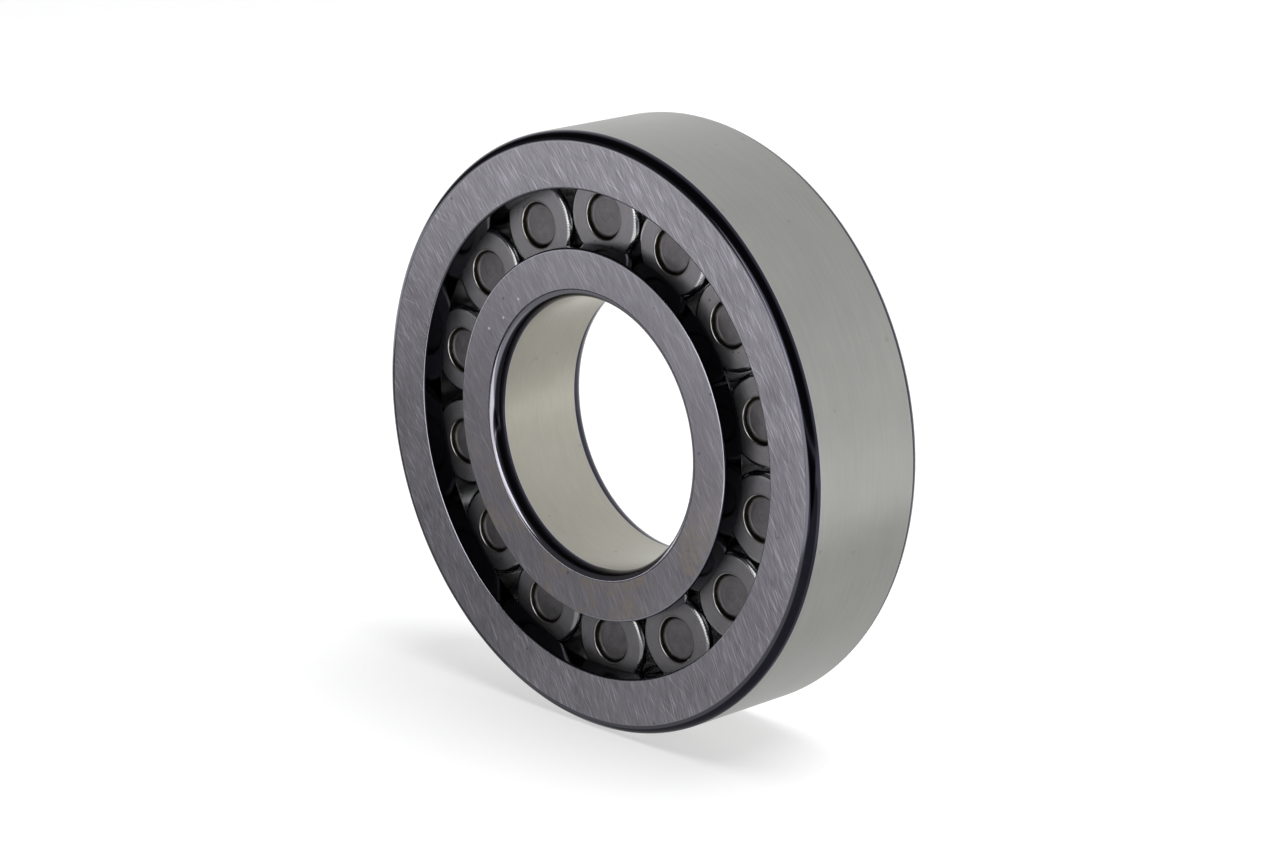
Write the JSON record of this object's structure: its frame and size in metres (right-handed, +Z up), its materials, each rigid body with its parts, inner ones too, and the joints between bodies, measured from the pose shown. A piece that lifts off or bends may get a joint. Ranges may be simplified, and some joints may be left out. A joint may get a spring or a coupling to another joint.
{
  "type": "cylindrical roller bearing",
  "caption": "Cylindrical roller bearing with a full complement of rollers, a double-ribbed outer ring and a single-ribbed inner ring.",
  "frame": {"origin": "centre of the bearing: on its axis, halfway across the outer ring's width", "axes": "Y along the bearing's axis, +Y away from the face where the inner ring has its rib; +Z up as the bearing stands on its rim, +X to the right seen from the front"},
  "size_m": [0.11, 0.027, 0.11],
  "materials": {
    "outer_ring": "ground faces with fine crossing scratches, satin outside, polished dark corners",
    "inner_ring": "ground face with fine crossing scratches, satin bore, polished dark corners",
    "rollers": "fine ground ends with a turned dimple, polished rolling surface"
  },
  "bodies": {
    "outer_ring": {"outer_ring": "outer_ring"},
    "inner_ring": {"inner_ring": "inner_ring"},
    "roller_01": {"roller_01": "rollers"},
    "roller_02": {"roller_02": "rollers"},
    "roller_03": {"roller_03": "rollers"},
    "roller_04": {"roller_04": "rollers"},
    "roller_05": {"roller_05": "rollers"},
    "roller_06": {"roller_06": "rollers"},
    "roller_07": {"roller_07": "rollers"},
    "roller_08": {"roller_08": "rollers"},
    "roller_09": {"roller_09": "rollers"},
    "roller_10": {"roller_10": "rollers"},
    "roller_11": {"roller_11": "rollers"},
    "roller_12": {"roller_12": "rollers"},
    "roller_13": {"roller_13": "rollers"},
    "roller_14": {"roller_14": "rollers"}
  },
  "joints": [
    {"name": "inner_ring_spin", "type": "hinge", "parent": "outer_ring", "child": "inner_ring", "pos_m": [0, 0, 0], "axis": [0, 1, 0], "continuous": true},
    {"name": "roller_orbit", "type": "hinge", "parent": "outer_ring", "child": "roller_01", "pos_m": [0, 0, 0], "axis": [0, 1, 0], "continuous": true},
    {"name": "roller_02_spin", "type": "hinge", "parent": "roller_01", "child": "roller_02", "pos_m": [0.01639, 0, 0.03578], "axis": [0, 1, 0], "continuous": true},
    {"name": "roller_03_spin", "type": "hinge", "parent": "roller_01", "child": "roller_03", "pos_m": [0.0303, 0, 0.02513], "axis": [0, 1, 0], "continuous": true},
    {"name": "roller_04_spin", "type": "hinge", "parent": "roller_01", "child": "roller_04", "pos_m": [0.0382, 0, 0.00949], "axis": [0, 1, 0], "continuous": true},
    {"name": "roller_05_spin", "type": "hinge", "parent": "roller_01", "child": "roller_05", "pos_m": [0.03853, 0, -0.00802], "axis": [0, 1, 0], "continuous": true},
    {"name": "roller_06_spin", "type": "hinge", "parent": "roller_01", "child": "roller_06", "pos_m": [0.03124, 0, -0.02395], "axis": [0, 1, 0], "continuous": true},
    {"name": "roller_07_spin", "type": "hinge", "parent": "roller_01", "child": "roller_07", "pos_m": [0.01776, 0, -0.03513], "axis": [0, 1, 0], "continuous": true},
    {"name": "roller_08_spin", "type": "hinge", "parent": "roller_01", "child": "roller_08", "pos_m": [0.00076, 0, -0.03935], "axis": [0, 1, 0], "continuous": true},
    {"name": "roller_09_spin", "type": "hinge", "parent": "roller_01", "child": "roller_09", "pos_m": [-0.01639, 0, -0.03578], "axis": [0, 1, 0], "continuous": true},
    {"name": "roller_10_spin", "type": "hinge", "parent": "roller_01", "child": "roller_10", "pos_m": [-0.0303, 0, -0.02513], "axis": [0, 1, 0], "continuous": true},
    {"name": "roller_11_spin", "type": "hinge", "parent": "roller_01", "child": "roller_11", "pos_m": [-0.0382, 0, -0.00949], "axis": [0, 1, 0], "continuous": true},
    {"name": "roller_12_spin", "type": "hinge", "parent": "roller_01", "child": "roller_12", "pos_m": [-0.03853, 0, 0.00802], "axis": [0, 1, 0], "continuous": true},
    {"name": "roller_13_spin", "type": "hinge", "parent": "roller_01", "child": "roller_13", "pos_m": [-0.03124, 0, 0.02395], "axis": [0, 1, 0], "continuous": true},
    {"name": "roller_14_spin", "type": "hinge", "parent": "roller_01", "child": "roller_14", "pos_m": [-0.01776, 0, 0.03513], "axis": [0, 1, 0], "continuous": true}
  ],
  "couplings": [
    {"joint": "roller_orbit", "follows": "inner_ring_spin", "ratio": 0.39202},
    {"joint": "roller_02_spin", "follows": "inner_ring_spin", "ratio": -2.2073},
    {"joint": "roller_03_spin", "follows": "inner_ring_spin", "ratio": -2.2073},
    {"joint": "roller_04_spin", "follows": "inner_ring_spin", "ratio": -2.2073},
    {"joint": "roller_05_spin", "follows": "inner_ring_spin", "ratio": -2.2073},
    {"joint": "roller_06_spin", "follows": "inner_ring_spin", "ratio": -2.2073},
    {"joint": "roller_07_spin", "follows": "inner_ring_spin", "ratio": -2.2073},
    {"joint": "roller_08_spin", "follows": "inner_ring_spin", "ratio": -2.2073},
    {"joint": "roller_09_spin", "follows": "inner_ring_spin", "ratio": -2.2073},
    {"joint": "roller_10_spin", "follows": "inner_ring_spin", "ratio": -2.2073},
    {"joint": "roller_11_spin", "follows": "inner_ring_spin", "ratio": -2.2073},
    {"joint": "roller_12_spin", "follows": "inner_ring_spin", "ratio": -2.2073},
    {"joint": "roller_13_spin", "follows": "inner_ring_spin", "ratio": -2.2073},
    {"joint": "roller_14_spin", "follows": "inner_ring_spin", "ratio": -2.2073}
  ]
}
